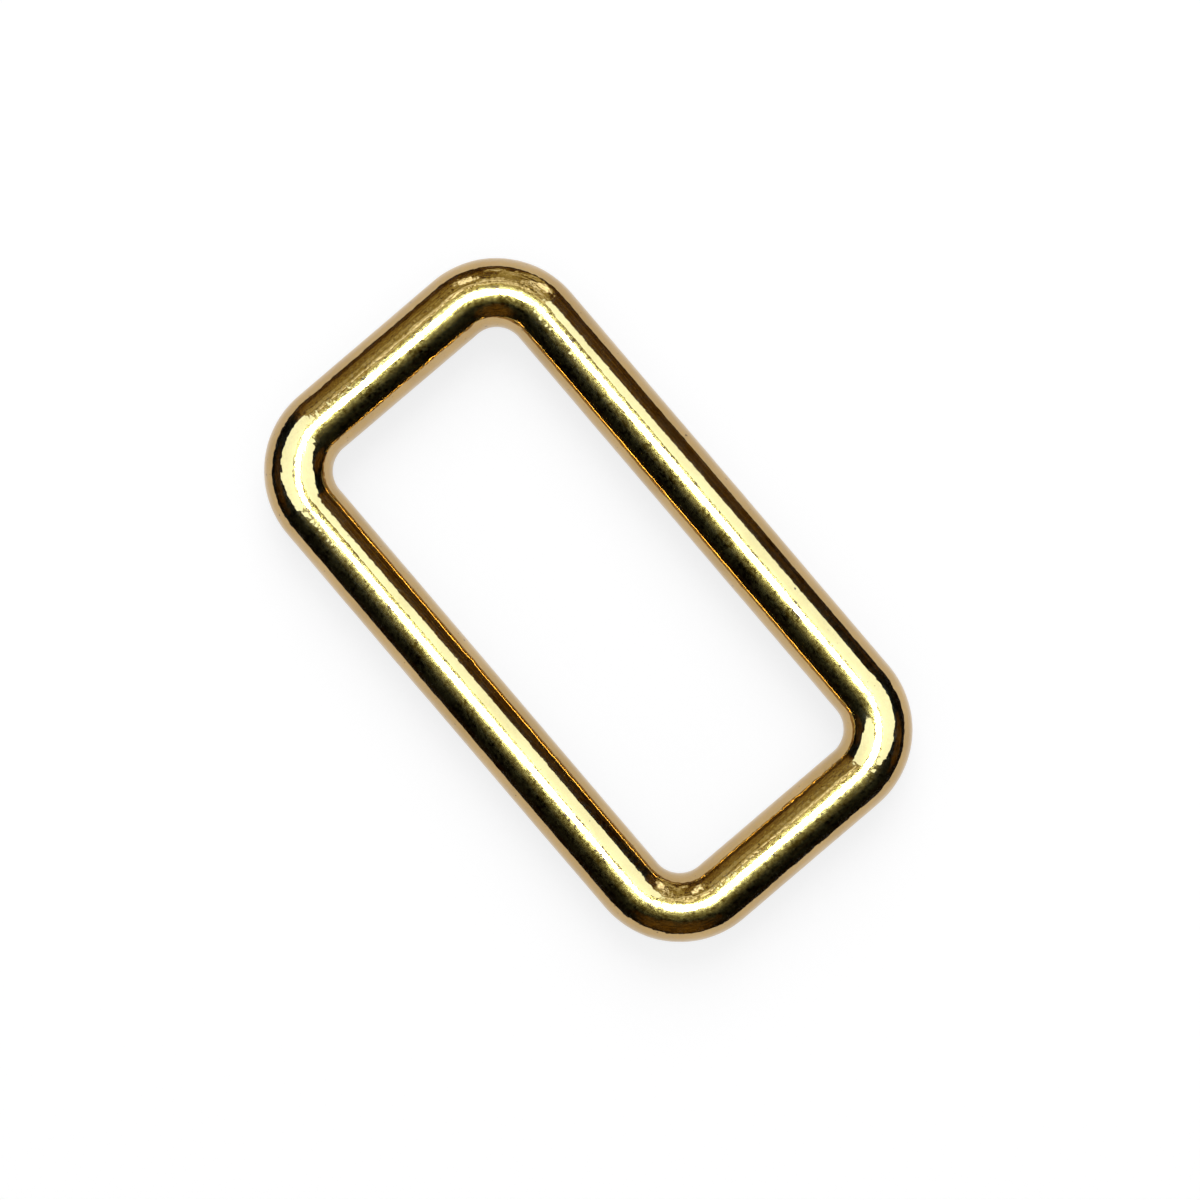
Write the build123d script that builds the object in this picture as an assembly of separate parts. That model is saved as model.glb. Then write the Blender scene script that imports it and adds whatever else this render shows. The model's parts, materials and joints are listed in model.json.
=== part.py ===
from build123d import *
from math import pi
import os

# A closed rectangular strap ring: one round bar that follows a rounded rectangle, lying flat
# in XY with its long sides along X. The origin is the middle of the opening, on the plane
# through the middle of the bar, and +Z is square to the ring. Sizes are in millimetres.

strap_width = 38.0  # inside length of the opening, which is the width of strap it takes
opening_width = 16.25  # inside distance between the two long sides
bar_diameter = 4.85
inside_corner_radius = 2.0

bar_radius = bar_diameter / 2
centre_length = strap_width + bar_diameter
centre_width = opening_width + bar_diameter
corner_radius = inside_corner_radius + bar_radius  # at the middle of the bar
bend_x = centre_length / 2 - corner_radius
bend_y = centre_width / 2 - corner_radius


def long_side(y):
    """A straight round bar along X, between two bends."""
    return Pos(0, y) * Rotation(0, 90, 0) * Cylinder(bar_radius, 2 * bend_x)


def short_side(x):
    """A straight round bar along Y, between two bends."""
    return Pos(x, 0) * Rotation(90, 0, 0) * Cylinder(bar_radius, 2 * bend_y)


def bend(x, y, turn):
    """A quarter of a torus about the corner centre x, y, turned to join its two sides."""
    section = Plane.XZ * Pos(corner_radius, 0) * Circle(bar_radius)
    return Pos(x, y) * Rotation(0, 0, turn) * revolve(section, Axis.Z, 90)


def rectangular_ring():
    """The ring as one solid: four straight sides fused with four bends."""
    sides = [long_side(-centre_width / 2), long_side(centre_width / 2)]
    sides += [short_side(-centre_length / 2), short_side(centre_length / 2)]
    bends = [bend(bend_x, bend_y, 0), bend(-bend_x, bend_y, 90)]
    bends += [bend(-bend_x, -bend_y, 180), bend(bend_x, -bend_y, 270)]
    return sides[0].fuse(*sides[1:], *bends).solid()


def expected_volume():
    """The round section's area times the length of the line through the middle of the bar."""
    centre_line_length = 4 * (bend_x + bend_y) + 2 * pi * corner_radius
    return pi * bar_radius**2 * centre_line_length


ring = rectangular_ring()
os.makedirs("parts", exist_ok=True)
export_step(ring, "parts/rectangular_ring.step")
print(f"volume {ring.volume:.2f} mm3, section times length {expected_volume():.2f} mm3")
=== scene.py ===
import json
import math

import bmesh
import bpy
from mathutils import Matrix, Vector, noise


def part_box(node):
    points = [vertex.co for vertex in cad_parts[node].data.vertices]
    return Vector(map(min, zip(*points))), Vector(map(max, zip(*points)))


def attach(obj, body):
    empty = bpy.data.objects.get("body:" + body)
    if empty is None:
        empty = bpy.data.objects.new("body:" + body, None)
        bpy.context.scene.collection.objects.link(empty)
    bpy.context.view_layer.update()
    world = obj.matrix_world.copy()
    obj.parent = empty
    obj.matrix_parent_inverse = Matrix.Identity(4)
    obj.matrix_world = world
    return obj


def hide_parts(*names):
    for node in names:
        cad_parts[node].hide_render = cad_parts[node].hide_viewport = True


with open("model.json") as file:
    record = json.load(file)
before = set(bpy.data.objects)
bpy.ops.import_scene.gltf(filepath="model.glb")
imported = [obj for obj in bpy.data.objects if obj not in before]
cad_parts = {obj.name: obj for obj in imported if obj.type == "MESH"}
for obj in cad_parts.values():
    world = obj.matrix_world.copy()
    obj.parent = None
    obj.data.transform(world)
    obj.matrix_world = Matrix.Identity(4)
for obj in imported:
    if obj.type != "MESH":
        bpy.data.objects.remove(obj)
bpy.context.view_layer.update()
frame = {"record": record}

# ---------------------------------------------------------------- sizes, all in metres

MM = 0.001
NODE = "rectangular_ring"
mounts = {mount["name"]: mount for mount in frame["record"]["mounts"]}
ring_low, ring_high = (Vector(corner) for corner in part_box(NODE))
ring_size = ring_high - ring_low

bar_diameter = ring_size.z
bar_radius = bar_diameter / 2
straight_x = mounts["long_bar_plus_y"]["dims"]["length_mm"] * MM
straight_y = mounts["end_bar_plus_x"]["dims"]["length_mm"] * MM
corner_radius = (ring_size.x - bar_diameter - straight_x) / 2  # at the middle of the bar
floor_height = ring_low.z

# The way the ring lies in the picture: its long side points down and to the right.
VIEW_TURN = math.radians(49.58)
view_right = Vector((math.cos(VIEW_TURN), math.sin(VIEW_TURN), 0))
view_up = Vector((-math.sin(VIEW_TURN), math.cos(VIEW_TURN), 0))
OVERHEAD = Vector((0, 0, 1))


# ---------------------------------------------------------------- the ring's mesh

STEPS_AROUND_BAR = 90
STEPS_IN_BEND = 64
STEPS_ON_LONG_SIDE = 240
STEPS_ON_SHORT_SIDE = 86

# Hand finishing leaves a polished bar a few hundredths of a millimetre under its true size, in
# shallow waves: (wavelength, depth).
UNDULATIONS = ((9 * MM, 0.014 * MM), (2.6 * MM, 0.005 * MM), (0.9 * MM, 0.0016 * MM))
BEND_WAVES = 1.8  # how much deeper the two shorter ones are where the bar was bent
BEND_BLUR = 1.5 * MM  # the length over which the bends' deeper waves fade in
NICK_X = -2.0 * MM  # on the long side at low Y, on the face that looks into the opening
NICK_TILT = math.radians(44)
NICK_WIDTH = 0.16 * MM
NICK_DEPTH = 0.03 * MM


def flat_direction(degrees):
    """The level direction at an angle round from the X axis."""
    angle = math.radians(degrees)
    return Vector((math.cos(angle), math.sin(angle), 0))


def centre_line():
    """Points on the line through the middle of the bar, each with its outward direction."""
    stops = []
    half_x, half_y = straight_x / 2, straight_y / 2
    bends = (
        (Vector((half_x, half_y, 0)), 0, Vector((-1, 0, 0)), straight_x, STEPS_ON_LONG_SIDE),
        (Vector((-half_x, half_y, 0)), 90, Vector((0, -1, 0)), straight_y, STEPS_ON_SHORT_SIDE),
        (Vector((-half_x, -half_y, 0)), 180, Vector((1, 0, 0)), straight_x, STEPS_ON_LONG_SIDE),
        (Vector((half_x, -half_y, 0)), 270, Vector((0, 1, 0)), straight_y, STEPS_ON_SHORT_SIDE),
    )
    for centre, start, along, length, steps in bends:
        for step in range(STEPS_IN_BEND):
            outward = flat_direction(start + 90 * step / STEPS_IN_BEND)
            stops.append((centre + corner_radius * outward, outward))
        outward = flat_direction(start + 90)
        for step in range(steps):
            stops.append((centre + corner_radius * outward + along * (length * step / steps), outward))
    return stops


def bent_share(point):
    """1 inside the bends and 0 along the straight bars, with a soft step between."""
    into_bend = min(abs(point.x) - straight_x / 2, abs(point.y) - straight_y / 2)
    share = min(max(into_bend / BEND_BLUR + 0.5, 0), 1)
    return share * share * (3 - 2 * share)


def undulation(point):
    """How far the finished surface lies under the true bar at a point, from 0 inwards."""
    long_wave, *short_waves = UNDULATIONS
    depth = long_wave[1] * (1 - noise.noise(point / long_wave[0]))
    deeper = 1 + (BEND_WAVES - 1) * bent_share(point)
    for wavelength, height in short_waves:
        depth += deeper * height * (1 - noise.noise(point / wavelength))
    return depth


def nick(point):
    """The depth of the one small nick."""
    inward = Vector((0, math.sin(NICK_TILT), math.cos(NICK_TILT)))
    middle = Vector((NICK_X, -(straight_y / 2 + corner_radius), 0)) + bar_radius * inward
    return NICK_DEPTH * math.exp(-((point - middle).length / NICK_WIDTH) ** 2)


def ring_mesh():
    """The bar's surface as quads: a loop of sections, each turned to follow the centre line."""
    points, faces = [], []
    stops = centre_line()
    for centre, outward in stops:
        for step in range(STEPS_AROUND_BAR):
            angle = 2 * math.pi * step / STEPS_AROUND_BAR
            normal = outward * math.cos(angle) + Vector((0, 0, math.sin(angle)))
            point = centre + bar_radius * normal
            points.append(point - normal * (undulation(point) + nick(point)))
    for stop in range(len(stops)):
        here = stop * STEPS_AROUND_BAR
        there = (stop + 1) % len(stops) * STEPS_AROUND_BAR
        for step in range(STEPS_AROUND_BAR):
            ahead = (step + 1) % STEPS_AROUND_BAR
            faces.append((here + step, here + ahead, there + ahead, there + step))
    mesh = bpy.data.meshes.new("polished_ring")
    mesh.from_pydata(points, [], faces)
    mesh.shade_smooth()
    mesh.update()
    return mesh


# ---------------------------------------------------------------- node helpers


class Nodes:
    """Adds nodes to a material or world and links them, so that each material reads in order."""

    def __init__(self, owner):
        owner.use_nodes = True
        self.tree = owner.node_tree
        self.tree.nodes.clear()

    def add(self, kind, inputs=None, **settings):
        node = self.tree.nodes.new(kind)
        for name, value in settings.items():
            setattr(node, name, value)
        for name, value in (inputs or {}).items():
            self.put(node.inputs[name], value)
        return node

    def put(self, socket, value):
        """Links the socket if the value is another node's output, or else sets it."""
        if isinstance(value, bpy.types.NodeSocket):
            self.tree.links.new(value, socket)
        else:
            socket.default_value = value

    def maths(self, operation, first, second=0.0):
        node = self.add("ShaderNodeMath", operation=operation)
        self.put(node.inputs[0], first)
        self.put(node.inputs[1], second)
        return node.outputs[0]

    def spread(self, value, low, high, to_low, to_high, smooth=False):
        """Takes the range from low to high onto the range from to_low to to_high, and stays in it."""
        kind = "SMOOTHSTEP" if smooth else "LINEAR"
        inputs = {"Value": value, "From Min": low, "From Max": high, "To Min": to_low, "To Max": to_high}
        return self.add("ShaderNodeMapRange", inputs, interpolation_type=kind).outputs["Result"]

    def noise(self, place, size, detail=2.0, roughness=0.5, fourth=None):
        """Noise with lumps of about this size, mostly 0.3 to 0.7: in 4D if a fourth place is given."""
        inputs = {"Vector": place, "Scale": 1 / size, "Detail": detail, "Roughness": roughness}
        if fourth is None:
            return self.add("ShaderNodeTexNoise", inputs).outputs["Fac"]
        inputs["W"] = fourth
        return self.add("ShaderNodeTexNoise", inputs, noise_dimensions="4D").outputs["Fac"]

    def bump(self, height, distance, strength=1.0):
        inputs = {"Strength": strength, "Distance": distance, "Height": height}
        return self.add("ShaderNodeBump", inputs).outputs["Normal"]

    def mixed(self, first, first_share, second, second_share):
        """The sum of two values, each times its share."""
        return self.maths(
            "ADD",
            self.maths("MULTIPLY", first, first_share),
            self.maths("MULTIPLY", second, second_share),
        )

    def blend(self, share, first, second):
        """A colour between two: the Mix node's colour sockets share their names, so they go by number."""
        node = self.add("ShaderNodeMix", data_type="RGBA")
        self.put(node.inputs["Factor"], share)
        self.put(node.inputs[6], first)
        self.put(node.inputs[7], second)
        return node.outputs[2]


# ---------------------------------------------------------------- the gold plating

GOLD = (0.54, 0.37, 0.165, 1)
GOLD_DEEP = (0.41, 0.27, 0.105, 1)
SPECK = (0.10, 0.06, 0.03, 1)  # a pinhole or a grain of dust
PLATING_SMOOTHEST = 0.035
PLATING_ROUGHEST = 0.06
LACQUER_ROUGHNESS = 0.265
LACQUER_MOST = 0.56  # the lacquer's weight where its grain is densest

# The clouds in the finish: their sizes, and the span of each noise that is spread from 0 to 1.
HAZE_SIZE = 1.4 * MM
HAZE_SPAN = (0.3, 0.7)
GRAIN_SIZE = 0.26 * MM
GRAIN_SPAN = (0.41, 0.59)
GRAIN_SHARE = 0.65  # the rest of the grain is haze
TONE_SIZE = 3.5 * MM
TONE_SPAN = (0.36, 0.64)
TONE_SHARE = 0.4  # the rest of the tone is grain
SPECK_SIZE = 0.3 * MM
SPECK_SPAN = (0.75, 0.78)  # only the rare peaks are specks

RIPPLE_SIZE = 0.42 * MM
RIPPLE_SHARE = 1.4
DRAWN_MARK_SIZE = 0.26 * MM
DRAWN_MARK_SHARE = 0.7
DRAW_STRETCH = 0.14  # how slowly the drawn marks change along the bar, against across it
FINISH_DEPTH = 0.01 * MM  # of the ripple and the marks, as a bump
STRAIGHT_DEPTH = 0.45  # how deep the finish is on the long sides, against the bends
END_BAR_DEPTH = 0.9  # how near the short sides come to the bends' depth
BEND_FINISH = (-1.5 * MM, 1 * MM)  # past the end of a straight, where the bends' depth fades in
END_BAR_FINISH = (-0.5 * MM, 1 * MM)


def surface_height(n, place):
    """The ripple of the plating, with fine marks that run along the bar and round the bends."""
    x, y, z = n.add("ShaderNodeSeparateXYZ", {0: place}).outputs
    over_x = n.maths("SUBTRACT", n.maths("ABSOLUTE", x), straight_x / 2)
    over_y = n.maths("SUBTRACT", n.maths("ABSOLUTE", y), straight_y / 2)
    past_x = n.maths("POWER", n.maths("MAXIMUM", over_x, 0), 2)
    past_y = n.maths("POWER", n.maths("MAXIMUM", over_y, 0), 2)
    radius = n.maths("SQRT", n.maths("ADD", past_x, past_y))
    across = n.maths("ADD", radius, n.maths("MINIMUM", n.maths("MAXIMUM", over_x, over_y), 0))
    section = n.add("ShaderNodeCombineXYZ", {0: across, 1: z, 2: n.maths("MULTIPLY", x, DRAW_STRETCH)})
    slow_y = n.maths("MULTIPLY", y, DRAW_STRETCH)
    marks = n.noise(section.outputs[0], DRAWN_MARK_SIZE, detail=1, fourth=slow_y)
    ripple = n.noise(place, RIPPLE_SIZE, detail=1, roughness=0.4)
    bent = n.spread(n.maths("MINIMUM", over_x, over_y), *BEND_FINISH, 0, 1, smooth=True)
    end_bar = n.spread(over_x, *END_BAR_FINISH, 0, END_BAR_DEPTH, smooth=True)
    worked = n.spread(n.maths("MAXIMUM", bent, end_bar), 0, 1, STRAIGHT_DEPTH, 1)
    return n.maths("MULTIPLY", n.mixed(ripple, RIPPLE_SHARE, marks, DRAWN_MARK_SHARE), worked)


def gold_plating():
    """Polished gold-coloured plating under a thin lacquer whose matt grain spreads a faint haze."""
    material = bpy.data.materials.new("gold_plating")
    n = Nodes(material)
    place = n.add("ShaderNodeTexCoord").outputs["Object"]
    haze = n.noise(place, HAZE_SIZE, detail=4, roughness=0.6)
    fine_grain = n.noise(place, GRAIN_SIZE, detail=3, roughness=0.75)
    grain = n.mixed(fine_grain, GRAIN_SHARE, haze, 1 - GRAIN_SHARE)
    tone = n.mixed(n.noise(place, TONE_SIZE, detail=3), TONE_SHARE, grain, 1 - TONE_SHARE)
    colour = n.blend(n.spread(tone, *TONE_SPAN, 0, 1), GOLD, GOLD_DEEP)
    speck = n.spread(n.noise(place, SPECK_SIZE, detail=1, roughness=0.6), *SPECK_SPAN, 0, 1)
    bump = n.bump(surface_height(n, place), FINISH_DEPTH)
    surface = n.add(
        "ShaderNodeBsdfPrincipled",
        {
            "Base Color": n.blend(speck, colour, SPECK),
            "Metallic": 1.0,
            "Roughness": n.spread(haze, *HAZE_SPAN, PLATING_SMOOTHEST, PLATING_ROUGHEST),
            "Normal": bump,
            "Coat Weight": n.spread(grain, *GRAIN_SPAN, 0, LACQUER_MOST),
            "Coat Roughness": LACQUER_ROUGHNESS,
            "Coat Normal": bump,
        },
    )
    n.add("ShaderNodeOutputMaterial", {"Surface": surface.outputs[0]})
    return material


# ---------------------------------------------------------------- the studio

ROUND_STEPS = 96  # in each round thing of the studio
WHITE = (1, 1, 1, 1)


def from_sky(azimuth, polar):
    """The direction at an angle round from the picture's right, and an angle down from overhead."""
    azimuth, polar = math.radians(azimuth), math.radians(polar)
    flat = math.cos(azimuth) * view_right + math.sin(azimuth) * view_up
    return math.sin(polar) * flat + Vector((0, 0, math.cos(polar)))


def stage_object(name, mesh, material):
    """An object of the studio, which isn't part of the ring."""
    mesh.materials.append(material)
    thing = bpy.data.objects.new(name, mesh)
    bpy.context.scene.collection.objects.link(thing)
    return thing


def rim(radius):
    """Points round a level circle."""
    angles = [2 * math.pi * step / ROUND_STEPS for step in range(ROUND_STEPS)]
    return [(radius * math.cos(angle), radius * math.sin(angle), 0) for angle in angles]


def disc_mesh(name, radius):
    """A flat disc, facing up."""
    mesh = bpy.data.meshes.new(name)
    mesh.from_pydata(rim(radius), [], [tuple(range(ROUND_STEPS))])
    return mesh


def only_reflected(thing):
    """Something that only the metal sees: it is reflected, but it lights nothing else."""
    thing.visible_camera = False
    thing.visible_diffuse = False
    thing.visible_shadow = False


def only_lighting(thing):
    """A lamp that lights the paper, but isn't seen or reflected."""
    thing.visible_camera = False
    thing.visible_glossy = False
    thing.visible_shadow = False


def facing_ring(thing, direction, distance):
    """Puts a disc at a distance from the ring, with its face towards it."""
    turn = (-direction).to_track_quat("Z", "Y").to_matrix().to_4x4()
    thing.matrix_world = Matrix.Translation(direction * distance) @ turn


def glowing(name, colour, level):
    """A material that only gives light."""
    material = bpy.data.materials.new(name)
    n = Nodes(material)
    light = n.add("ShaderNodeEmission", {"Color": colour, "Strength": level})
    n.add("ShaderNodeOutputMaterial", {"Surface": light.outputs[0]})
    return material


def cut_off(thing, facing):
    """Cuts away the part of an object that lies behind a plane through the middle of the ring."""
    inverse = thing.matrix_world.inverted()
    solid = bmesh.new()
    solid.from_mesh(thing.data)
    bmesh.ops.bisect_plane(
        solid,
        geom=solid.verts[:] + solid.edges[:] + solid.faces[:],
        plane_co=inverse @ Vector((0, 0, 0)),
        plane_no=inverse.to_3x3() @ facing,
        clear_inner=True,
    )
    solid.to_mesh(thing.data)
    solid.free()


LAMP_DISTANCE = 0.7
LAMP_LIGHT = 0.45  # what the paper gets of a side lamp
PANEL_COLOUR = (2.05, 2.75, 3.3, 1)  # what the metal reflects of one
# The side lamps, in degrees: round from the picture's right, down from overhead, half the width
# of the disc, and how far from overhead its reflected edge is cut straight.
RIGHT_LAMP = {"azimuth": 15, "polar": 32, "half_angle": 23.5, "gap": 13.5}
LEFT_LAMP = {"azimuth": 163, "polar": 34.5, "half_angle": 22.5, "gap": 14.5}
LEFT_LAMP_TO = 138  # where the left one's reflection ends, round from the picture's right


def side_lamp(name, azimuth, polar, half_angle, gap):
    """A big round soft lamp: one disc lights the paper, and one with a cut edge is reflected."""
    radius = LAMP_DISTANCE * math.tan(math.radians(half_angle))
    side = 0 if azimuth < 90 else 180
    panel = stage_object(name + "_panel", disc_mesh(name, radius), glowing(name, PANEL_COLOUR, 1.0))
    lamp = stage_object(name, disc_mesh(name, radius), glowing(name, WHITE, LAMP_LIGHT))
    for disc in (panel, lamp):
        facing_ring(disc, from_sky(azimuth, polar), LAMP_DISTANCE)
    cut_off(panel, from_sky(side, gap + 90))
    only_reflected(panel)
    only_lighting(lamp)
    return panel


def side_lamps():
    """The two soft lamps, left and right in the picture."""
    side_lamp("right_lamp", **RIGHT_LAMP)
    left_panel = side_lamp("left_lamp", **LEFT_LAMP)
    cut_off(left_panel, from_sky(LEFT_LAMP_TO + 90, 90))


OVERHEAD_HEIGHT = 0.46
OVERHEAD_COLOUR = (1, 0.89, 0.27, 1)
OVERHEAD_GLOW = 1050.0
OVERHEAD_REACH = math.radians(7.6)


def overhead_lamp():
    """A small, very bright lamp straight above."""
    radius = OVERHEAD_HEIGHT * math.tan(OVERHEAD_REACH)
    light = glowing("overhead_lamp", OVERHEAD_COLOUR, OVERHEAD_GLOW)
    lamp = stage_object("overhead_lamp", disc_mesh("overhead_lamp", radius), light)
    facing_ring(lamp, OVERHEAD, OVERHEAD_HEIGHT)
    only_reflected(lamp)


WINDOW_LIGHT = 2.7
WINDOW_HALF_ANGLE = 22
WINDOW_AZIMUTH = 90
WINDOW_POLAR = 46


def window():
    """Soft light on the paper from the top of the picture, which gives the ring its faint shadow."""
    radius = LAMP_DISTANCE * math.tan(math.radians(WINDOW_HALF_ANGLE))
    light = glowing("window", WHITE, WINDOW_LIGHT)
    pane = stage_object("window", disc_mesh("window", radius), light)
    facing_ring(pane, from_sky(WINDOW_AZIMUTH, WINDOW_POLAR), LAMP_DISTANCE)
    only_lighting(pane)


# ---------------------------------------------------------------- the room that the metal reflects

ROOM_RADIUS = 1.4

# The lit wall, in degrees round from the picture's right. Its start is only dimly lit.
WALL_FROM = 38
WALL_LIT_FROM = 53
WALL_TO = 140
WALL_LEVEL = 0.45
FLANK_LEVEL = 0.10  # of the dim start
WALL_EDGE = (3, 6)  # half the softness of each end, in degrees
FLANK_EDGE = (5, 8)
RAGGED = 3  # how far the ends wander, in degrees
RAGGED_SPAN = (0.3, 0.7)
# The same wall downwards, in degrees from overhead.
WALL_TOP = (15, 32)
WALL_DIMS = (45, 80)
WALL_FOOT = 0.2  # how much of its light is left at the bottom

# The crumpled bright strip along the top of the wall, and where it is in degrees.
VEIL_LEVEL = 0.8
VEIL_FROM_OVERHEAD = (23, 34)
VEIL_STARTS = 60
VEIL_TOP_EDGE = (6, 6)
VEIL_END_EDGE = (4, 4)

# Lit things in the room, by how far right and up of overhead they are in the picture: (degrees
# right, degrees up, half width, half height, turn, level). The last three are dim patches low on
# the unlit sides.
LIT_THINGS = (
    (30, 55, 17, 8, 30, 1.7),
    (-23, 54, 12, 6.5, -45, 1.6),
    (-3, 37, 8, 9, 0, 0.5),
    (14, 38, 14, 6, 20, 0.35),
    (22, 70, 20, 10, 20, 0.5),
    (-2, 76, 9, 5, 0, 0.7),
    (68, -14, 14, 22, 0, 0.07),
    (-68, -6, 14, 26, 0, 0.05),
    (0, -68, 32, 24, 0, 0.10),
)
THING_EDGE = (0.6, 1.3)  # where a thing's light starts to fade and is gone, in half widths

# The blotches in the light: their sizes as seen from the ring, in radians, the span of each
# noise that is used, and the levels that it is spread over.
MOTTLE_BROAD = 0.17
MOTTLE_FINE = 0.05
MOTTLE_FINE_SHARE = 0.5
MOTTLE_SPAN = (0.39, 0.61)
MOTTLE_LEVELS = (0.1, 1.9)
CRUMPLE_SIZE = 0.06
CRUMPLE_SPAN = (0.42, 0.58)
SMUDGE_SIZE = 0.3
SMUDGE_SPAN = (0.5, 0.7)
SMUDGE_LEVELS = (0.001, 0.012)  # very faint, where nothing else is lit

# The colour of the room's light by its level. It is all dusk up to DUSK_TO, all dim at DIM_AT,
# and all bright from BRIGHT_FROM on.
DUSK_TINT = (1, 0.50, 0.05, 1)
DIM_TINT = (1, 0.90, 0.33, 1)
BRIGHT_TINT = (1, 1.12, 1.15, 1)
DUSK_TO = 0.06
DIM_AT = 0.45
BRIGHT_FROM = 1.3

# The glow round the overhead lamp: (degrees out, colour).
GLOWS = ((35, (0.15, 0.145, 0.04, 1)), (14, (0.25, 0.4, 1.1, 1)))


class RoomNodes(Nodes):
    """Nodes that draw by direction from the ring, in degrees."""

    def __init__(self, owner):
        super().__init__(owner)
        place = self.add("ShaderNodeTexCoord").outputs["Object"]
        self.way = self.add("ShaderNodeVectorMath", {0: place}, operation="NORMALIZE").outputs["Vector"]
        turned = self.maths("ARCTAN2", self.along(view_up), self.along(view_right))
        self.azimuth = self.maths("DEGREES", turned)
        self.polar = self.maths("DEGREES", self.maths("ARCCOSINE", self.along(OVERHEAD)))
        angle = self.maths("RADIANS", self.azimuth)
        self.right = self.maths("MULTIPLY", self.polar, self.maths("COSINE", angle))
        self.up = self.maths("MULTIPLY", self.polar, self.maths("SINE", angle))

    def along(self, direction):
        """How far the way points in a direction, from -1 to 1."""
        dot = self.add("ShaderNodeVectorMath", {0: self.way, 1: direction}, operation="DOT_PRODUCT")
        return dot.outputs["Value"]

    def between(self, value, low, high, edges):
        """1 from low to high and 0 outside, with a soft edge of its own at each end."""
        soft_low, soft_high = edges
        rise = self.spread(value, low - soft_low, low + soft_low, 0, 1, smooth=True)
        fall = self.spread(value, high - soft_high, high + soft_high, 1, 0, smooth=True)
        return self.maths("MULTIPLY", rise, fall)

    def lit_thing(self, at_right, at_up, half_width, half_height, turn, level):
        """A soft-edged turned oval."""
        turn = math.radians(turn)
        dx, dy = self.maths("SUBTRACT", self.right, at_right), self.maths("SUBTRACT", self.up, at_up)
        x = self.mixed(dx, math.cos(turn) / half_width, dy, math.sin(turn) / half_width)
        y = self.mixed(dx, -math.sin(turn) / half_height, dy, math.cos(turn) / half_height)
        squares = self.mixed(self.maths("MULTIPLY", x, x), 1, self.maths("MULTIPLY", y, y), 1)
        return self.spread(self.maths("SQRT", squares), *THING_EDGE, level, 0, smooth=True)


def wall_level(n, fine):
    """The light of the lit wall, with its dim start and the crumpled strip along its top."""
    ragged = n.mixed(n.azimuth, 1, n.spread(fine, *RAGGED_SPAN, -RAGGED, RAGGED), 1)
    wall = n.maths("MULTIPLY", n.between(ragged, WALL_LIT_FROM, WALL_TO, WALL_EDGE), WALL_LEVEL)
    wall = n.maths("MULTIPLY", wall, n.spread(n.polar, *WALL_DIMS, 1, WALL_FOOT))
    flank = n.maths("MULTIPLY", n.between(ragged, WALL_FROM, WALL_TO, FLANK_EDGE), FLANK_LEVEL)
    level = n.maths("MULTIPLY", n.maths("MAXIMUM", wall, flank), n.spread(n.polar, *WALL_TOP, 0, 1))
    crumpled = n.spread(n.noise(n.way, CRUMPLE_SIZE, detail=1), *CRUMPLE_SPAN, 0, 2 * VEIL_LEVEL)
    veil = n.maths(
        "MULTIPLY",
        n.between(n.polar, *VEIL_FROM_OVERHEAD, VEIL_TOP_EDGE),
        n.between(ragged, VEIL_STARTS, WALL_TO, VEIL_END_EDGE),
    )
    return n.mixed(level, 1, n.maths("MULTIPLY", veil, crumpled), 1)


def room_level(n):
    """The light of everything in the room but the lamps, in each direction."""
    broad = n.noise(n.way, MOTTLE_BROAD, detail=4, roughness=0.65)
    fine = n.noise(n.way, MOTTLE_FINE, detail=2, roughness=0.6)
    blotches = n.mixed(broad, 1 - MOTTLE_FINE_SHARE, fine, MOTTLE_FINE_SHARE)
    mottle = n.spread(blotches, *MOTTLE_SPAN, *MOTTLE_LEVELS)
    level = wall_level(n, fine)
    for thing in LIT_THINGS:
        level = n.maths("ADD", level, n.lit_thing(*thing))
    smudged = n.noise(n.way, SMUDGE_SIZE, detail=4, roughness=0.7)
    smudges = n.spread(smudged, *SMUDGE_SPAN, *SMUDGE_LEVELS)
    return n.mixed(n.maths("MULTIPLY", level, mottle), 1, smudges, 1)


def room_material():
    """A material that gives the room's light, and the glow round the overhead lamp."""
    material = bpy.data.materials.new("room")
    n = RoomNodes(material)
    level = room_level(n)
    tint = n.blend(n.spread(level, DIM_AT, BRIGHT_FROM, 0, 1), DIM_TINT, BRIGHT_TINT)
    tint = n.blend(n.spread(level, DUSK_TO, DIM_AT, 0, 1), DUSK_TINT, tint)
    light = n.add("ShaderNodeEmission", {"Color": tint, "Strength": level}).outputs[0]
    for reach, colour in GLOWS:
        share = n.lit_thing(0, 0, reach, reach, 0, 1)
        glow = n.add("ShaderNodeEmission", {"Color": colour, "Strength": share})
        light = n.add("ShaderNodeAddShader", {0: light, 1: glow.outputs[0]}).outputs[0]
    n.add("ShaderNodeOutputMaterial", {"Surface": light})
    return material


def room():
    """The dim room round the table: a half sphere that only the metal sees."""
    mesh = bpy.data.meshes.new("room")
    solid = bmesh.new()
    bmesh.ops.create_uvsphere(
        solid, u_segments=ROUND_STEPS, v_segments=ROUND_STEPS // 2, radius=ROOM_RADIUS
    )
    solid.to_mesh(mesh)
    solid.free()
    shell = stage_object("room", mesh, room_material())
    cut_off(shell, OVERHEAD)
    only_reflected(shell)


# ---------------------------------------------------------------- the table and the surround

SHEET_RADIUS = 0.085
TABLE_GAP = 0.1 * MM  # above the paper, so that the metal reflects it
TABLE_COLOUR = (0.02, 0.012, 0.008, 1)


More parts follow.
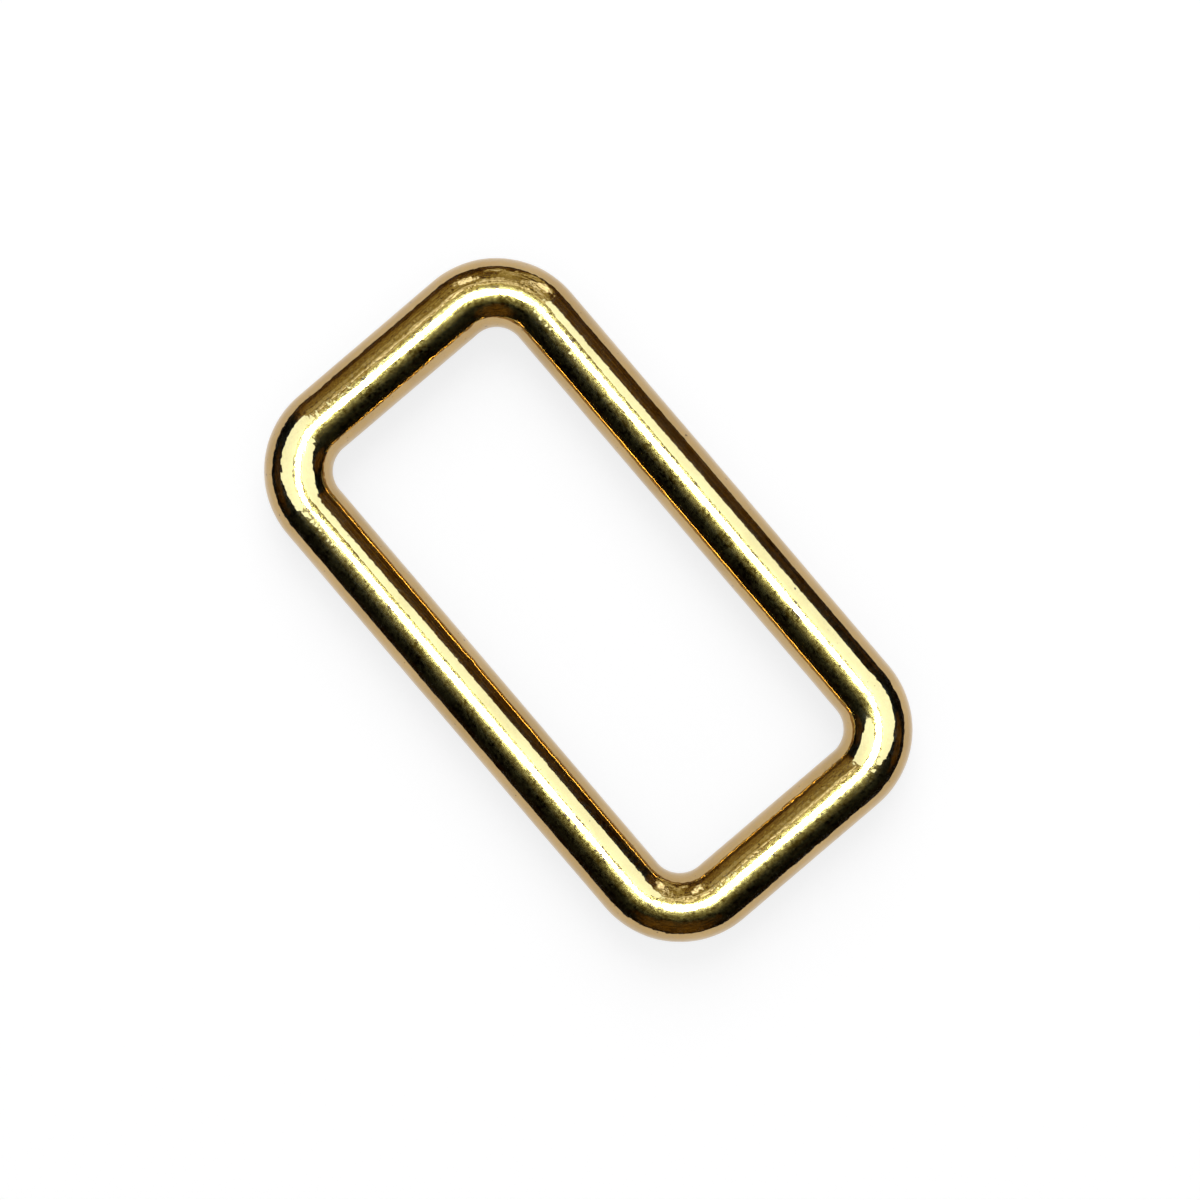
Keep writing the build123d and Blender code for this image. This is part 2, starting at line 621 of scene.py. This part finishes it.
def dark_table():
    """The dark table past the edge of the paper: only the metal reflects it."""
    mesh = bpy.data.meshes.new("dark_table")
    aheads = [(step + 1) % ROUND_STEPS for step in range(ROUND_STEPS)]
    faces = [
        (step, ahead, ROUND_STEPS + ahead, ROUND_STEPS + step) for step, ahead in enumerate(aheads)
    ]
    mesh.from_pydata(rim(SHEET_RADIUS) + rim(ROOM_RADIUS), [], faces)
    table = stage_object("dark_table", mesh, glowing("dark_table", TABLE_COLOUR, 1.0))
    table.location.z = floor_height + TABLE_GAP
    only_reflected(table)


FLOOR_RADIUS = 1.3
PAPER = (0.40, 0.40, 0.40, 1)
PAPER_GLOW = 0.80
FIBRE_SIZE = 0.5 * MM
FIBRE_DEPTH = 0.01 * MM


def paper_floor():
    """A plain white sheet that glows a little, so that shadows on it stay faint."""
    material = bpy.data.materials.new("paper")
    n = Nodes(material)
    place = n.add("ShaderNodeTexCoord").outputs["Object"]
    surface = n.add(
        "ShaderNodeBsdfPrincipled",
        {
            "Base Color": PAPER,
            "Roughness": 0.9,
            "Specular IOR Level": 0.0,
            "Normal": n.bump(n.noise(place, FIBRE_SIZE, detail=4), FIBRE_DEPTH, strength=0.3),
            "Emission Color": WHITE,
            "Emission Strength": PAPER_GLOW,
        },
    )
    n.add("ShaderNodeOutputMaterial", {"Surface": surface.outputs[0]})
    floor = stage_object("floor", disc_mesh("floor", FLOOR_RADIUS), material)
    floor.location.z = floor_height


SURROUND = (0.8, 0.8, 0.82, 1)
SURROUND_LIGHT = 0.3


def pale_world():
    """An even pale surround."""
    world = bpy.data.worlds.new("surround")
    bpy.context.scene.world = world
    n = Nodes(world)
    light = n.add("ShaderNodeBackground", {"Color": SURROUND, "Strength": SURROUND_LIGHT})
    n.add("ShaderNodeOutputWorld", {"Surface": light.outputs[0]})


# ---------------------------------------------------------------- the picture

CAMERA_HEIGHT = 0.200  # above the middle of the bar
VIEW_WIDTH = 0.0833  # how much the picture spans there
RING_LEFT_OF_MIDDLE = 0.00082
BRIGHTEST_BOUNCE = 3.5  # keeps stray bright dots out of the reflections


def overhead_camera():
    """Looks straight down, turned so that the ring lies aslant as in the picture."""
    data = bpy.data.cameras.new("camera")
    data.sensor_width = 36
    data.lens = data.sensor_width * CAMERA_HEIGHT / VIEW_WIDTH
    data.clip_start = 0.005
    camera = bpy.data.objects.new("camera", data)
    camera.location = view_right * RING_LEFT_OF_MIDDLE + Vector((0, 0, CAMERA_HEIGHT))
    camera.rotation_euler = (0, 0, VIEW_TURN)
    bpy.context.scene.collection.objects.link(camera)
    bpy.context.scene.camera = camera


def light_handling():
    """Colours as they are, no sparkle from the metal on the paper, and no stray bright dots."""
    bpy.context.scene.view_settings.view_transform = "Standard"
    bpy.context.scene.cycles.caustics_reflective = False
    bpy.context.scene.cycles.sample_clamp_indirect = BRIGHTEST_BOUNCE


# ---------------------------------------------------------------- building it all

overhead_camera()
pale_world()
paper_floor()
window()
side_lamps()
overhead_lamp()
room()
dark_table()
light_handling()

ring = bpy.data.objects.new("polished_ring", ring_mesh())
bpy.context.scene.collection.objects.link(ring)
ring.data.materials.append(gold_plating())
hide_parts(NODE)
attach(ring, "root")
